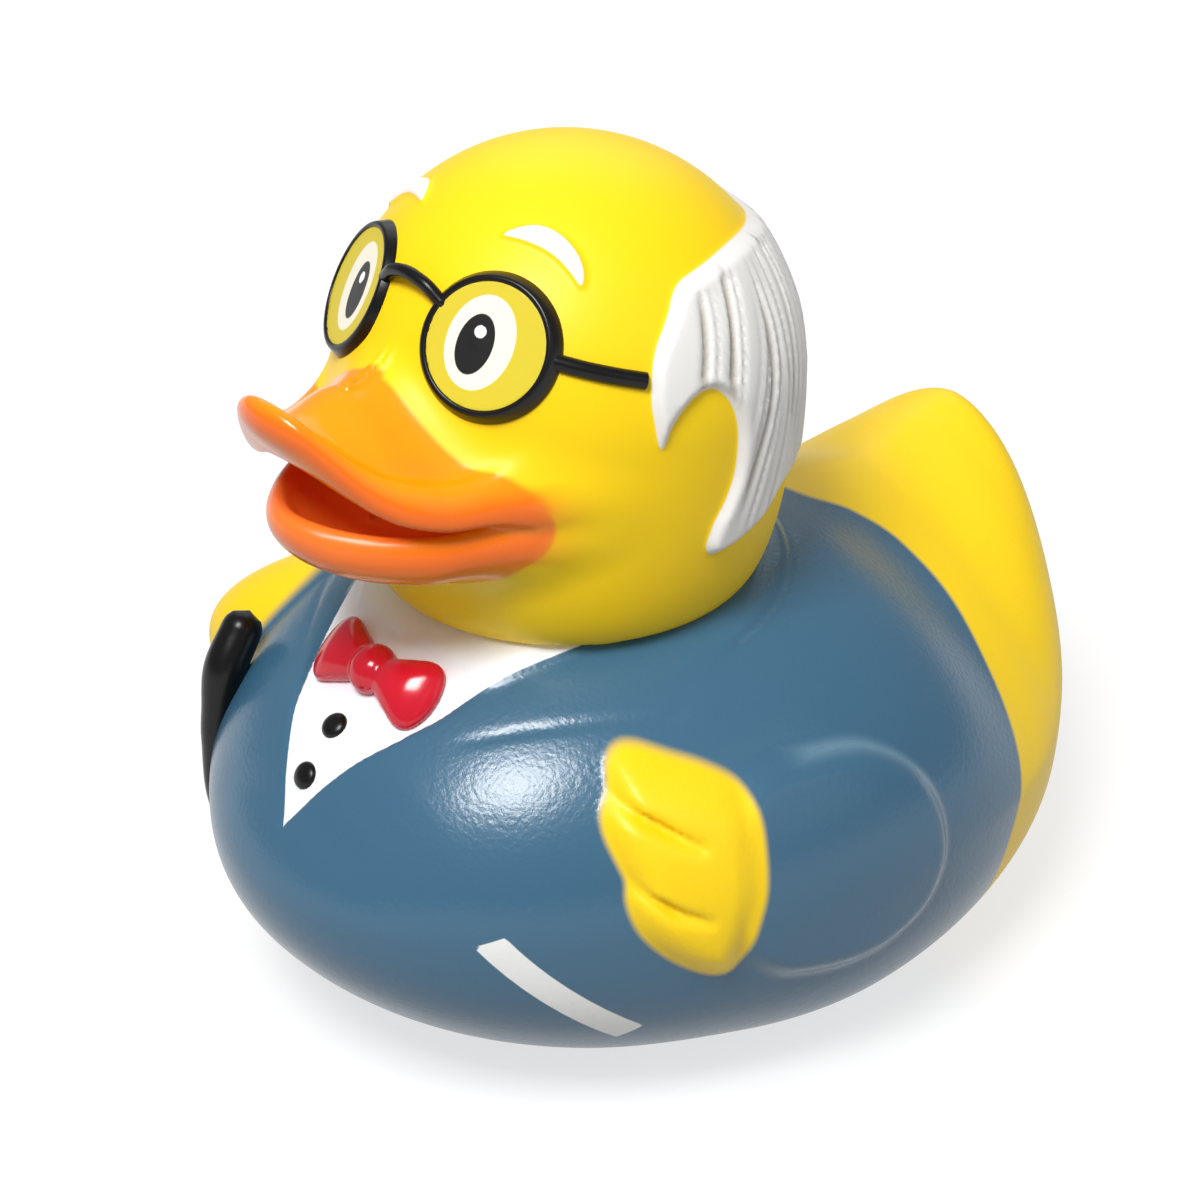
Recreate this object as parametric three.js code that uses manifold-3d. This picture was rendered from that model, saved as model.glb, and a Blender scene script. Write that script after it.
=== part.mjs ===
// A hollow vinyl bath duck dressed as an old gentleman, moulded in one piece.
// Millimetres, +Z up. The duck looks along -Y, its left side is +X, and the origin
// lies on the flat it stands on, below the middle of the body.
import * as THREE from 'three';
import { LoftGeometry } from 'three/addons/geometries/LoftGeometry.js';
import { mergeVertices } from 'three/addons/utils/BufferGeometryUtils.js';
import Module from 'manifold-3d';

const wasm = await Module();
wasm.setup();

// Shell
const wall = 2.2;
const ventDiameter = 3;
const ventY = 14;

// Body: an ellipse in plan, with a back line and a keel line in side view
const bodyLength = 93;
const bodyWidth = 72;
const chestZ = 20;
const shoulderZ = 45;
const saddleZ = 41;
const tailZ = 43.3;
const tailEndZ = 33;
const beltZ = 19;
const baseCut = 0.9;

// Head and neck, one revolve about a vertical axis
const headRadius = 21;
const headY = -10.7;
const headZ = 62;
const neckRadius = 17;
const neckZ = 42;
const neckSink = 6;

// Bill, measured from the head's axis
const billRoot = 9.5;
const upperBillReach = 35;
const lowerBillReach = 32.8;
const mouthHalfWidth = 15.6;
const mouthCornerZ = 57;
const ridgeZ = 67.3;
const tipUpturn = 1.2;
const lipThickness = 3;
const gape = 8;
const chinDepth = 5.4;

// Spectacles: raised round rims with flat lenses
const lensYaw = 25.5;
const lensPitch = 27.5;
const lensRadius = 5.4;
const rimWidth = 1;
const rimHeight = 0.7;
const lensDepth = 0.4;
const wireRadius = 0.65;
const templeStartPitch = 23.5;
const templeEndYaw = 72;
const templeEndPitch = 17.5;

// Hair and brows
const hairLift = 0.8;
const hairTopZ = 76;
const lockTipZ = 50.7;
const napeZ = 54.4;
const strandRadius = 0.75;
const strandsPerSide = 5;
const strandTopPitch = 38;
const strandLowPitch = -30;
const browRadius = 1.3;
const browPitch = 54;

// Dress: shirt front, bow tie, buttons, sleeves and hands
const shirtDepth = 0.9;
const shirtHalfWidth = 16;
const shirtTipZ = 26.7;
const tieHalfWidth = 6.6;
const tieHalfHeight = 3;
const tieThickness = 1.7;
const tieDrop = 4.6;
const knotHalf = 1.75;
const buttonRadius = 1.25;
const buttonHeight = 0.7;
const buttonYs = [-37.8, -41.2];
const sleeveLength = 26;
const sleeveHeight = 22;
const sleeveY = -8.5;
const sleeveZ = 24.5;
const sleeveLift = 1.2;
const palmWidth = 12.5;
const featherWidth = 7.6;
const featherLift = 1.9;
const gripLift = 3.4;
const lobeSink = 2.5;

// Facets of the large surfaces
const bodyRings = 26;
const bodySides = 30;
const headSides = 32;

// Walking stick held in the right hand
const stickRadius = 2.1;
const stickTaper = 0.55;

const mix = THREE.MathUtils.lerp;
const radians = THREE.MathUtils.degToRad;
const signedPower = (value, power) => Math.sign(value) * Math.abs(value) ** power;
const steps = (count) => Array.from({ length: count }, (_, k) => k);

// A smooth line through stations given as [share of the length, value].
const line = (stations) => {
  const shares = stations.map((station) => station[0]);
  const values = stations.map((station) => station[1]);
  const interpolant = new THREE.CubicInterpolant(shares, values, 1);
  return (share) => interpolant.evaluate(share)[0];
};

// A closed solid from a geometry, with shared corners merged and slivers dropped.
const solidOf = (geometry) => {
  const bare = new THREE.BufferGeometry();
  bare.setAttribute('position', geometry.attributes.position);
  bare.setIndex(geometry.index);
  const merged = mergeVertices(bare, 1e-4);
  const corners = merged.index.array;
  const kept = [];
  for (let k = 0; k < corners.length; k += 3) {
    const [a, b, c] = corners.slice(k, k + 3);
    if (a !== b && b !== c && c !== a) kept.push(a, b, c);
  }
  const vertProperties = new Float32Array(merged.attributes.position.array);
  const mesh = new wasm.Mesh({ numProp: 3, vertProperties, triVerts: new Uint32Array(kept) });
  return new wasm.Manifold(mesh);
};

const unite = (solids) => solids.reduce((whole, solid) => whole.add(solid));
const mirrored = (make) => [1, -1].map((side) => make(side));

// Body lines, along the turn from chest (0) to tail (1)
const chestRise = (share) => mix(chestZ, shoulderZ, share);
const backLine = line([
  [0, chestZ], [0.06, chestRise(0.14)], [0.113, chestRise(0.28)], [0.15, chestRise(0.42)],
  [0.2, chestRise(0.6)], [0.256, chestRise(0.735)], [0.3, chestRise(0.83)], [0.42, shoulderZ],
  [0.53, mix(shoulderZ, saddleZ, 0.12)], [0.62, mix(shoulderZ, saddleZ, 0.75)], [0.71, saddleZ],
  [0.81, tailZ], [0.9, mix(tailZ, tailEndZ, 0.15)], [1, tailEndZ],
]);
const keelLine = line([
  [0, chestZ], [0.09, chestZ * 0.68], [0.18, chestZ * 0.38], [0.295, chestZ * 0.075],
  [0.4, -baseCut], [0.6, -baseCut],
  [0.72, tailEndZ * 0.06], [0.82, tailEndZ * 0.24], [0.91, tailEndZ * 0.55], [1, tailEndZ],
]);
const beltLine = line([
  [0, chestZ], [0.3, chestZ], [0.5, beltZ], [0.7, beltZ], [0.83, mix(beltZ, tailEndZ, 0.36)], [1, tailEndZ],
]);
const fullnessAbove = line([[0, 2], [0.44, 2.1], [0.56, 1.9], [0.67, 1.35], [0.8, 1.5], [1, 2]]);
const fullnessBelow = line([[0, 2], [0.3, 2.4], [0.5, 2.8], [0.7, 2.7], [1, 2]]);

// A point on the body, or on a copy of it that stands proud by lift.
const bodyPoint = (share, angle, lift = 0) => {
  const turn = Math.PI * share;
  const belt = beltLine(share);
  const above = Math.sin(angle) > 0;
  const rise = above ? backLine(share) - belt : belt - keelLine(share);
  const swell = 1 + lift / (shoulderZ - beltZ);
  const power = 2 / (above ? fullnessAbove(share) : fullnessBelow(share));
  const halfWidth = (bodyWidth / 2 + lift) * Math.sin(turn);
  const x = halfWidth * signedPower(Math.cos(angle), power);
  const y = -(bodyLength / 2 + lift) * Math.cos(turn);
  const z = belt + rise * swell * signedPower(Math.sin(angle), power);
  return new THREE.Vector3(x, y, Math.max(z, 0, -lift));
};
const turnAt = (y) => Math.acos(-y / (bodyLength / 2)) / Math.PI;

const bodyLoft = (lift, rings, sides) => {
  const end = 0.015;
  const sections = steps(rings + 1).map((ring) => {
    const share = mix(end, 1 - end, ring / rings);
    return steps(sides).map((k) => bodyPoint(share, -2 * Math.PI * (k + 0.5) / sides, lift));
  });
  return solidOf(new LoftGeometry(sections, { capStart: true, capEnd: true }));
};

// Head: a dome above, swelling in from the neck below
const headAt = (yaw, pitch, lift = 0) => {
  const rise = Math.sin(radians(pitch));
  const drop = Math.min(rise, 0) * (headZ - neckZ) / headRadius;
  const spread = rise > 0 ? headRadius * Math.cos(radians(pitch)) : headReach(headZ + drop * headRadius);
  const reach = spread + lift * Math.cos(radians(pitch));
  const z = headZ + (rise > 0 ? rise * headRadius : drop * headRadius) + lift * rise;
  return new THREE.Vector3(reach * Math.sin(radians(yaw)), headY - reach * Math.cos(radians(yaw)), z);
};
const headReach = (z) => {
  const depth = Math.min((headZ - z) / (headZ - neckZ), 1);
  return neckRadius + (headRadius - neckRadius) * Math.sqrt(1 - depth ** 2);
};
const headLathe = (lift, segments, bottomZ) => {
  const below = steps(6).map((k) => {
    const z = headZ - (headZ - neckZ) * Math.cos(Math.PI / 2 * k / 6);
    return new THREE.Vector2(headReach(z) + lift, z);
  });
  const above = steps(12).map((k) => {
    const pitch = Math.PI / 2 * k / 11;
    const radius = headRadius + lift;
    return new THREE.Vector2(k === 11 ? 0 : radius * Math.cos(pitch), headZ + radius * Math.sin(pitch));
  });
  const foot = [new THREE.Vector2(0, bottomZ), new THREE.Vector2(neckRadius + lift, bottomZ)];
  const geometry = new THREE.LatheGeometry([...foot, ...below, ...above], segments);
  geometry.rotateX(Math.PI / 2);
  geometry.translate(0, headY, 0);
  return solidOf(geometry);
};

// A round bar along points, with a radius that may change from end to end.
const bar = (points, radius, count = 10, sides = 8) => {
  const curve = new THREE.CatmullRomCurve3(points);
  const frames = curve.computeFrenetFrames(count);
  const sections = steps(count + 1).map((ring) => {
    const centre = curve.getPointAt(ring / count);
    return steps(sides).map((k) => {
      const angle = 2 * Math.PI * k / sides;
      const across = frames.normals[ring].clone().multiplyScalar(Math.cos(angle));
      across.addScaledVector(frames.binormals[ring], Math.sin(angle));
      return centre.clone().addScaledVector(across, radius(ring / count));
    });
  });
  return solidOf(new LoftGeometry(sections, { capStart: true, capEnd: true }));
};

// An ellipsoid set at a point, with its own three directions and half sizes.
const lump = (centre, along, out, halfSizes, detail = 12) => {
  const geometry = new THREE.SphereGeometry(1, detail, Math.round(detail * 0.6));
  geometry.scale(...halfSizes);
  const u = along.clone().normalize();
  const w = out.clone().addScaledVector(u, -out.dot(u)).normalize();
  const basis = new THREE.Matrix4().makeBasis(u, new THREE.Vector3().crossVectors(w, u), w);
  geometry.applyMatrix4(basis.setPosition(centre));
  return solidOf(geometry);
};

// A flat outline pushed through the part, along X from a side view or along Y from the front.
const throughX = (shape, x0, x1) => {
  const settings = { depth: x1 - x0, bevelEnabled: false, curveSegments: 5 };
  const geometry = new THREE.ExtrudeGeometry(shape, settings);
  const axes = [new THREE.Vector3(0, 1, 0), new THREE.Vector3(0, 0, 1), new THREE.Vector3(1, 0, 0)];
  geometry.applyMatrix4(new THREE.Matrix4().makeBasis(...axes));
  geometry.translate(x0, 0, 0);
  return solidOf(geometry);
};
const throughY = (shape, y0, y1) => {
  const geometry = new THREE.ExtrudeGeometry(shape, { depth: y1 - y0, bevelEnabled: false });
  geometry.rotateX(Math.PI / 2);
  geometry.translate(0, y1, 0);
  return solidOf(geometry);
};

// Bill: each half is a loft of arched sections from inside the head to the tip
const billHalf = (reach, halfWidth, edgeZ, topArch, bottomArch) => {
  const rings = 10;
  const sides = 18;
  const sections = steps(rings + 1).map((ring) => {
    const share = Math.sin(Math.PI / 2 * (ring / rings) * 0.985);
    const round = Math.sqrt(1 - share ** 6);
    const blunt = Math.sqrt(1 - share ** 16);
    const y = headY - mix(billRoot, reach, share);
    return steps(sides).map((k) => {
      const angle = 2 * Math.PI * (k + 0.5) / sides;
      const arch = (Math.sin(angle) > 0 ? topArch(share) : bottomArch(share)) * Math.sin(angle) ** 2;
      const lip = lipThickness / 2 * Math.sin(angle);
      const z = edgeZ(share) + arch * round + lip * blunt;
      return new THREE.Vector3(halfWidth(share) * round * Math.cos(angle), y, z);
    });
  });
  return solidOf(new LoftGeometry(sections, { capStart: true, capEnd: true }));
};
const billWidth = line([
  [0, mouthHalfWidth * 1.08], [0.2, mouthHalfWidth], [0.4, mouthHalfWidth * 0.87],
  [0.6, mouthHalfWidth * 0.75], [0.8, mouthHalfWidth * 0.64], [1, mouthHalfWidth * 0.56],
]);
const lipLine = (stations) => line(stations.map(([share, part]) => [share, mouthCornerZ + gape * part]));
const upperEdge = lipLine([
  [0, 0.06], [0.2, 0.12], [0.37, 0.15], [0.53, 0.14], [0.69, 0.27], [0.77, 0.43], [0.83, 0.63], [0.89, 0.88],
  [0.95, 1.1], [1, 1.2],
]);
const lowerEdge = lipLine([
  [0, -0.06], [0.24, -0.18], [0.45, -0.24], [0.62, -0.26], [0.79, -0.22], [0.92, -0.14], [1, 0],
]);
const ridgeArch = (share) => ridgeZ + tipUpturn * share ** 4 - lipThickness / 2 - upperEdge(share);
const palateArch = (share) => 0.45 * ridgeArch(share);
const floorArch = () => -lipThickness * 0.9;
const chinArch = (share) => -chinDepth * (1 - 0.35 * share);
const bill = unite([
  billHalf(upperBillReach, billWidth, upperEdge, ridgeArch, palateArch),
  billHalf(lowerBillReach, (share) => billWidth(share) * 0.96, lowerEdge, floorArch, chinArch),
]);

// Spectacles
const lensFrame = (side) => {
  const out = new THREE.Vector3(0, 0, 1);
  out.applyAxisAngle(new THREE.Vector3(1, 0, 0), Math.PI / 2 - radians(lensPitch));
  out.applyAxisAngle(new THREE.Vector3(0, 0, 1), side * radians(lensYaw));
  const up = new THREE.Vector3(0, 0, 1).addScaledVector(out, -out.z).normalize();
  const across = new THREE.Vector3().crossVectors(out, up);
  const centre = new THREE.Vector3(0, headY, headZ).addScaledVector(out, headRadius - lensDepth);
  return { out, up, across, centre };
};
const turned = (profile, side) => {
  const { out, up, across, centre } = lensFrame(side);
  const geometry = new THREE.LatheGeometry(profile, 24);
  geometry.applyMatrix4(new THREE.Matrix4().makeBasis(across, out, up).setPosition(centre));
  return solidOf(geometry);
};
const rim = (side) => {
  const outer = lensRadius + rimWidth;
  const sunk = -outer * outer / headRadius;
  const profile = [
    new THREE.Vector2(lensRadius, sunk),
    new THREE.Vector2(outer, sunk),
    new THREE.Vector2(outer, rimHeight * 0.6),
    new THREE.Vector2(outer - rimWidth / 3, rimHeight),
    new THREE.Vector2(lensRadius, rimHeight),
    new THREE.Vector2(lensRadius, sunk),
  ];
  return turned(profile, side);
};
const lensFlat = (side) => turned([
  new THREE.Vector2(0, 0), new THREE.Vector2(lensRadius, 0),
  new THREE.Vector2(lensRadius, headRadius), new THREE.Vector2(0, headRadius),
], side);
const rimPoint = (side, angle) => {
  const { out, up, across, centre } = lensFrame(side);
  const point = centre.clone().addScaledVector(out, rimHeight - wireRadius);
  const radius = lensRadius + rimWidth / 2;
  point.addScaledVector(across, -radius * Math.cos(radians(angle)));
  return point.addScaledVector(up, radius * Math.sin(radians(angle)));
};
const bridge = () => {
  const left = rimPoint(1, 145);
  const right = rimPoint(-1, 35);
  const middle = left.clone().add(right).multiplyScalar(0.5);
  middle.z += wireRadius * 2;
  middle.y -= wireRadius;
  return bar([left, middle, right], () => wireRadius, 6, 8);
};
const temple = (side) => {
  const yawAtRim = lensYaw + THREE.MathUtils.radToDeg((lensRadius + rimWidth / 2) / headRadius) * 1.1;
  const points = steps(4).map((k) => {
    const yaw = mix(yawAtRim, templeEndYaw, k / 3);
    return headAt(side * yaw, mix(templeStartPitch, templeEndPitch, k / 3));
  });
  return bar(points, () => wireRadius, 5, 8);
};
const spectacles = unite([...mirrored(rim), bridge(), ...mirrored(temple)]);

// Brows: tapered arcs over the rims
const brow = (side) => {
  const inner = headAt(side * 24, browPitch - 2.5);
  const middle = headAt(side * 40, browPitch);
  const outer = headAt(side * 54, browPitch - 9.5);
  return bar([inner, middle, outer], (share) => 0.15 + browRadius * Math.sin(Math.PI * share), 8, 8);
};

// Hair: a fringe round the sides and back, cut by combed strands
const hairOutline = () => {
  const shape = new THREE.Shape();
  const back = headRadius + hairLift;
  shape.moveTo(headY + back + 1, hairTopZ);
  shape.lineTo(headY + 5, hairTopZ + 0.8);
  shape.bezierCurveTo(headY - 1, hairTopZ, headY - 6, hairTopZ - 4, headY - 7.2, headZ + 5);
  shape.quadraticCurveTo(headY - 7.4, headZ + 2, headY - 6.9, headZ + 0.5);
  shape.quadraticCurveTo(headY - 4.5, headZ + 4.5, headY - 1, headZ + 4.5);
  shape.bezierCurveTo(headY + 2.6, headZ + 3, headY + 2.2, headZ - 5, headY - 1.5, lockTipZ + 1);
  shape.quadraticCurveTo(headY - 1.3, lockTipZ, headY + 2, lockTipZ + 0.3);
  shape.quadraticCurveTo(headY + 6, lockTipZ + 1.2, headY + 7.5, napeZ);
  shape.lineTo(headY + back + 1, napeZ);
  return shape;
};
const strand = (side, index) => {
  const share = (index + 0.5) / strandsPerSide;
  const top = headAt(side * mix(88, 172, share), strandTopPitch, hairLift);
  const middle = headAt(side * mix(79, 166, share), strandTopPitch / 3, hairLift);
  const low = headAt(side * mix(85, 164, share), mix(5, strandLowPitch, Math.min(1, share * 2.5)), hairLift);
  return bar([top, middle, low], (along) => strandRadius * (0.35 + 0.65 * Math.sin(Math.PI * along)), 6, 5);
};
const hair = () => {
  const half = headRadius + hairLift + 1;
  const band = headLathe(hairLift, headSides, lockTipZ - 1).intersect(throughX(hairOutline(), -half, half));
  const strands = mirrored((side) => steps(strandsPerSide).map((index) => strand(side, index))).flat();
  return band.subtract(unite(strands));
};

// Shirt front, sunk into the jacket
const shirtCut = (body) => {
  const shape = new THREE.Shape();
  const topZ = neckZ + 1;
  shape.moveTo(0, shirtTipZ);
  shape.quadraticCurveTo(shirtHalfWidth * 0.55, mix(shirtTipZ, topZ, 0.7), shirtHalfWidth, topZ);
  shape.lineTo(-shirtHalfWidth, topZ);
  shape.quadraticCurveTo(-shirtHalfWidth * 0.55, mix(shirtTipZ, topZ, 0.7), 0, shirtTipZ);
  const prism = throughY(shape, -bodyLength, headY - neckRadius / 2);
  return body.subtract(prism.subtract(bodyLoft(-shirtDepth, bodyRings, bodySides)));
};

// Front line of the chest: a point, the way down it and the way out of it
const chest = (share) => {
  const point = bodyPoint(share, Math.PI / 2, -shirtDepth);
  const down = bodyPoint(share - 0.02, Math.PI / 2).sub(bodyPoint(share + 0.02, Math.PI / 2)).normalize();
  const out = new THREE.Vector3().crossVectors(new THREE.Vector3(1, 0, 0), down).negate();
  return { point, down, out: out.y < 0 ? out : out.negate() };
};
const bowTie = () => {
  const { point, out } = chest(turnAt(headY - neckRadius - tieDrop));
  const sideways = new THREE.Vector3(1, 0, 0);
  const centre = point.clone().addScaledVector(out, tieThickness * 0.4);
  const halfLobe = tieHalfWidth * 0.36;
  const lobes = mirrored((side) => {
    const place = centre.clone().addScaledVector(sideways, side * (tieHalfWidth - halfLobe));
    const halfSizes = [halfLobe * 1.35, tieHalfHeight, tieThickness];
    return lump(place.addScaledVector(out, -0.4), sideways, out, halfSizes, 14);
  });
  return unite([...lobes, lump(centre, sideways, out, [knotHalf, knotHalf, tieThickness * 1.2], 12)]);
};
const button = (y) => {
  const { point, down, out } = chest(turnAt(y));
  return lump(point, down, out, [buttonRadius, buttonRadius, buttonHeight + shirtDepth * 0.2], 12);
};

// Arms: a sleeve laid against the flank, and a hand of three feathers
const sleeve = (side) => {
  const shape = new THREE.Shape();
  shape.absellipse(sleeveY, sleeveZ, sleeveLength / 2, sleeveHeight / 2, 0, 2 * Math.PI, false, 0);
  const [x0, x1] = side > 0 ? [bodyWidth / 4, bodyWidth] : [-bodyWidth, -bodyWidth / 4];
  return bodyLoft(sleeveLift, bodyRings, bodySides).intersect(throughX(shape, x0, x1));
};
const flank = (side, y, z) => {
  const share = turnAt(y);
  const belt = beltLine(share);
  const lean = (z - belt) / (backLine(share) - belt);
  const fullness = z > belt ? fullnessAbove(share) : fullnessBelow(share);
  const angle = Math.asin(signedPower(THREE.MathUtils.clamp(lean, -0.99, 0.99), fullness / 2));
  return bodyPoint(share, side > 0 ? angle : Math.PI - angle);
};

// A low lobe on one flank between two places given in side view
const lobe = (side, [from, to], width, lift) => {
  const front = flank(side, ...from);
  const back = flank(side, ...to);
  const middle = flank(side, (from[0] + to[0]) / 2, (from[1] + to[1]) / 2);
  const leanIn = bodyWidth / bodyLength;
  const out = new THREE.Vector3(side * bodyLength, middle.y * leanIn, middle.z - beltZ).normalize();
  const depth = lift + lobeSink;
  const spread = 1 / Math.sqrt(1 - (lobeSink / depth) ** 2);
  const halfLength = front.distanceTo(back) / 2 + 1;
  const centre = middle.addScaledVector(out, -lobeSink);
  return lump(centre, back.sub(front), out, [halfLength * spread, width / 2 * spread, depth], 16);
};
const palmEnds = [[-22.4, 34.4], [-20.6, 18.6]];
const featherEnds = [
  [[-25.4, 34.6], [-16.6, 31.6]],
  [[-27.4, 30], [-17.4, 25.6]],
  [[-26.4, 24], [-18.6, 20]],
];
const hand = (side) => {
  const lift = side > 0 ? featherLift : gripLift;
  const feathers = featherEnds.map((ends) => lobe(side, ends, featherWidth, lift));
  return unite([lobe(side, palmEnds, palmWidth, lift), ...feathers]);
};

// Walking stick: a tapered club from the right hand down the flank
const stick = () => {
  const stations = [[-31, 34.5], [-34.4, 31.2], [-37, 27.5], [-39.2, 23], [-40.2, 18], [-39.4, 13]];
  const centres = stations.map(([y, z]) => flank(-1, y, z));
  return bar(centres, (share) => stickRadius * (1 - stickTaper * share), 14, 10);
};

const cavity = () => {
  const inside = bodyLoft(-wall, 16, 20).add(headLathe(-wall, 20, neckZ - neckSink));
  const vent = new THREE.CylinderGeometry(ventDiameter / 2, ventDiameter / 2, wall * 4, 16);
  vent.rotateX(Math.PI / 2);
  vent.translate(0, ventY, 0);
  return inside.add(solidOf(vent));
};

const duck = () => {
  const body = shirtCut(bodyLoft(0, bodyRings, bodySides));
  const head = headLathe(0, headSides, neckZ - neckSink).subtract(unite(mirrored(lensFlat)));
  const trim = [...mirrored(brow), hair(), bowTie(), ...buttonYs.map(button)];
  const arms = [...mirrored(sleeve), ...mirrored(hand), stick()];
  const moulding = unite([body, head, bill, spectacles, ...trim, ...arms]).subtract(cavity());
  const mesh = moulding.getMesh();
  const geometry = new THREE.BufferGeometry();
  geometry.setAttribute('position', new THREE.BufferAttribute(new Float32Array(mesh.vertProperties), 3));
  geometry.setIndex(new THREE.BufferAttribute(new Uint32Array(mesh.triVerts), 1));
  geometry.computeVertexNormals();
  return geometry;
};

const yellowVinyl = new THREE.MeshStandardMaterial({ color: 0xffe000, roughness: 0.45, metalness: 0 });
const moulded = new THREE.Mesh(duck(), yellowVinyl);
moulded.name = 'duck';

const group = new THREE.Group();
group.add(moulded);

export default group;
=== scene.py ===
import math
import bpy
import numpy as np
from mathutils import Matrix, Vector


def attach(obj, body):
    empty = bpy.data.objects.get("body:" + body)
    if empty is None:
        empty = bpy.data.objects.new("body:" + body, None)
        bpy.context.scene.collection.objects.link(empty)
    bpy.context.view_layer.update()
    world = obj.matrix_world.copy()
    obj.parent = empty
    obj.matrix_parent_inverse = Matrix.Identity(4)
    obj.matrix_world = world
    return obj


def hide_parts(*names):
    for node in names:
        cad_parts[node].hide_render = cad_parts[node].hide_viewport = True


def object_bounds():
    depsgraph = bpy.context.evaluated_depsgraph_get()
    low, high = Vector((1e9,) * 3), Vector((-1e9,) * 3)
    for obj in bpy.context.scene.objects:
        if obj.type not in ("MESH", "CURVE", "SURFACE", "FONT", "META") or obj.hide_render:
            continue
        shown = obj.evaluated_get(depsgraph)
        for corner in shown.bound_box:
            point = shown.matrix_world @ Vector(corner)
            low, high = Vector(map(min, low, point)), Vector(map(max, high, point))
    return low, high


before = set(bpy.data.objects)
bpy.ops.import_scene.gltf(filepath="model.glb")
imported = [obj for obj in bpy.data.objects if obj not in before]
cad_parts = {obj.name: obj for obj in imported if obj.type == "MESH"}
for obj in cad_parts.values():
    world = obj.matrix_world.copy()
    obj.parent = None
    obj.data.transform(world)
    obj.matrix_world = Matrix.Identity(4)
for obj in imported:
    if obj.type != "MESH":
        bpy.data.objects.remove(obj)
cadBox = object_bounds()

import openvdb

# A hollow vinyl bath duck, moulded in one piece and spray painted. Everything here is in millimetres
# until the mesh is made. The duck looks along -Y and its left side is +X.
metresPerMm = 0.001


# small tools for shaping

def smoothLine(stations):
    # smooth curve through (place, value) stations, without overshoot
    place, value = np.array(stations, float).T
    step = np.diff(place)
    pitch = np.diff(value) / step
    slope = np.zeros(len(place))
    turning = pitch[:-1] * pitch[1:] <= 0
    slope[1:-1] = np.where(turning, 0, 2 * pitch[:-1] * pitch[1:] / np.where(turning, 1, pitch[:-1] + pitch[1:]))
    slope[0], slope[-1] = pitch[0], pitch[-1]
    fine = np.linspace(place[0], place[-1], 500)
    k = np.clip(np.searchsorted(place, fine) - 1, 0, len(step) - 1)
    u = (fine - place[k]) / step[k]
    table = ((1 + 2 * u) * (1 - u) ** 2 * value[k] + u * (1 - u) ** 2 * step[k] * slope[k]
             + u * u * (3 - 2 * u) * value[k + 1] + u * u * (u - 1) * step[k] * slope[k + 1])
    return lambda at: np.interp(at, fine, table)


def blendJoin(a, b, fillet):
    # union of two forms with a fillet
    near = np.maximum(fillet - np.abs(a - b), 0) / fillet
    return np.minimum(a, b) - near * near * fillet / 4


def blendCut(a, b, fillet):
    # keeps what is in both forms, with a rounded edge
    return -blendJoin(-a, -b, fillet)


def ease(mask, soft):
    # 1 inside a zone, easing to 0 across its edge
    t = np.clip(0.5 - mask / soft, 0, 1)
    return t * t * (3 - 2 * t)


def closedCurve(points, perSpan=6):
    # rounds a few given points into a closed outline
    p = np.array(points, float)
    a, b, c, d = np.roll(p, 1, 0), p, np.roll(p, -1, 0), np.roll(p, -2, 0)
    t = np.linspace(0, 1, perSpan, endpoint=False)[None, :, None]
    spans = 0.5 * (2 * b[:, None] + (c - a)[:, None] * t + (2 * a - 5 * b + 4 * c - d)[:, None] * t ** 2
                   + (3 * b - a - 3 * c + d)[:, None] * t ** 3)
    return spans.reshape(-1, 2)


def outlineDistance(u, v, outline):
    # signed distance to a closed outline, negative inside
    best = np.full(u.shape, 1e9)
    inside = np.zeros(u.shape, bool)
    for (au, av), (bu, bv) in zip(outline, np.roll(outline, -1, 0)):
        du, dv = bu - au, bv - av
        t = np.clip(((u - au) * du + (v - av) * dv) / (du * du + dv * dv + 1e-12), 0, 1)
        best = np.minimum(best, (u - au - t * du) ** 2 + (v - av - t * dv) ** 2)
        crosses = (av > v) != (bv > v)
        inside ^= crosses & (u < au + (v - av) * du / (dv if abs(dv) > 1e-9 else 1e-9))
    return np.where(inside, -np.sqrt(best), np.sqrt(best))


def barDistance(x, y, z, a, b, ra, rb):
    # round bar between two points, its radius changing from ra to rb
    a, b = np.array(a, float), np.array(b, float)
    d = b - a
    t = np.clip(((x - a[0]) * d[0] + (y - a[1]) * d[1] + (z - a[2]) * d[2]) / (d @ d), 0, 1)
    gap = np.sqrt((x - a[0] - t * d[0]) ** 2 + (y - a[1] - t * d[1]) ** 2 + (z - a[2] - t * d[2]) ** 2)
    return gap - (ra + (rb - ra) * t)


# body: an ellipse in plan, with its own back line and keel line in side view
body = {
    "halfLength": 46.5, "halfWidth": 36.0, "baseRound": 2.0,
    "belt": [(0, 20), (0.295, 20), (0.5, 19), (0.705, 19), (0.83, 24), (1, 33)],
    "rise": [(0, 17.5), (0.113, 20), (0.15, 23), (0.2, 25.3), (0.3, 25.7), (0.42, 26.2), (0.53, 25.6),
             (0.62, 24.2), (0.71, 26.4), (0.81, 33.6), (0.9, 44.9), (1, 46.8)],
    "sink": [(0, 23.3), (0.18, 23.3), (0.295, 23), (0.4, 21.4), (0.6, 21), (0.72, 22.3), (0.82, 28.9),
             (0.91, 35.8), (1, 36)],
    "fullAbove": [(0, 2), (0.44, 2.1), (0.56, 1.9), (0.67, 1.4), (0.8, 1.5), (0.9, 1.75), (1, 2)],
    "fullBelow": [(0, 2), (0.295, 2.4), (0.5, 2.8), (0.705, 2.7), (1, 2)],
}
bodyLines = {name: smoothLine(body[name]) for name in ("belt", "rise", "sink", "fullAbove", "fullBelow")}


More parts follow.
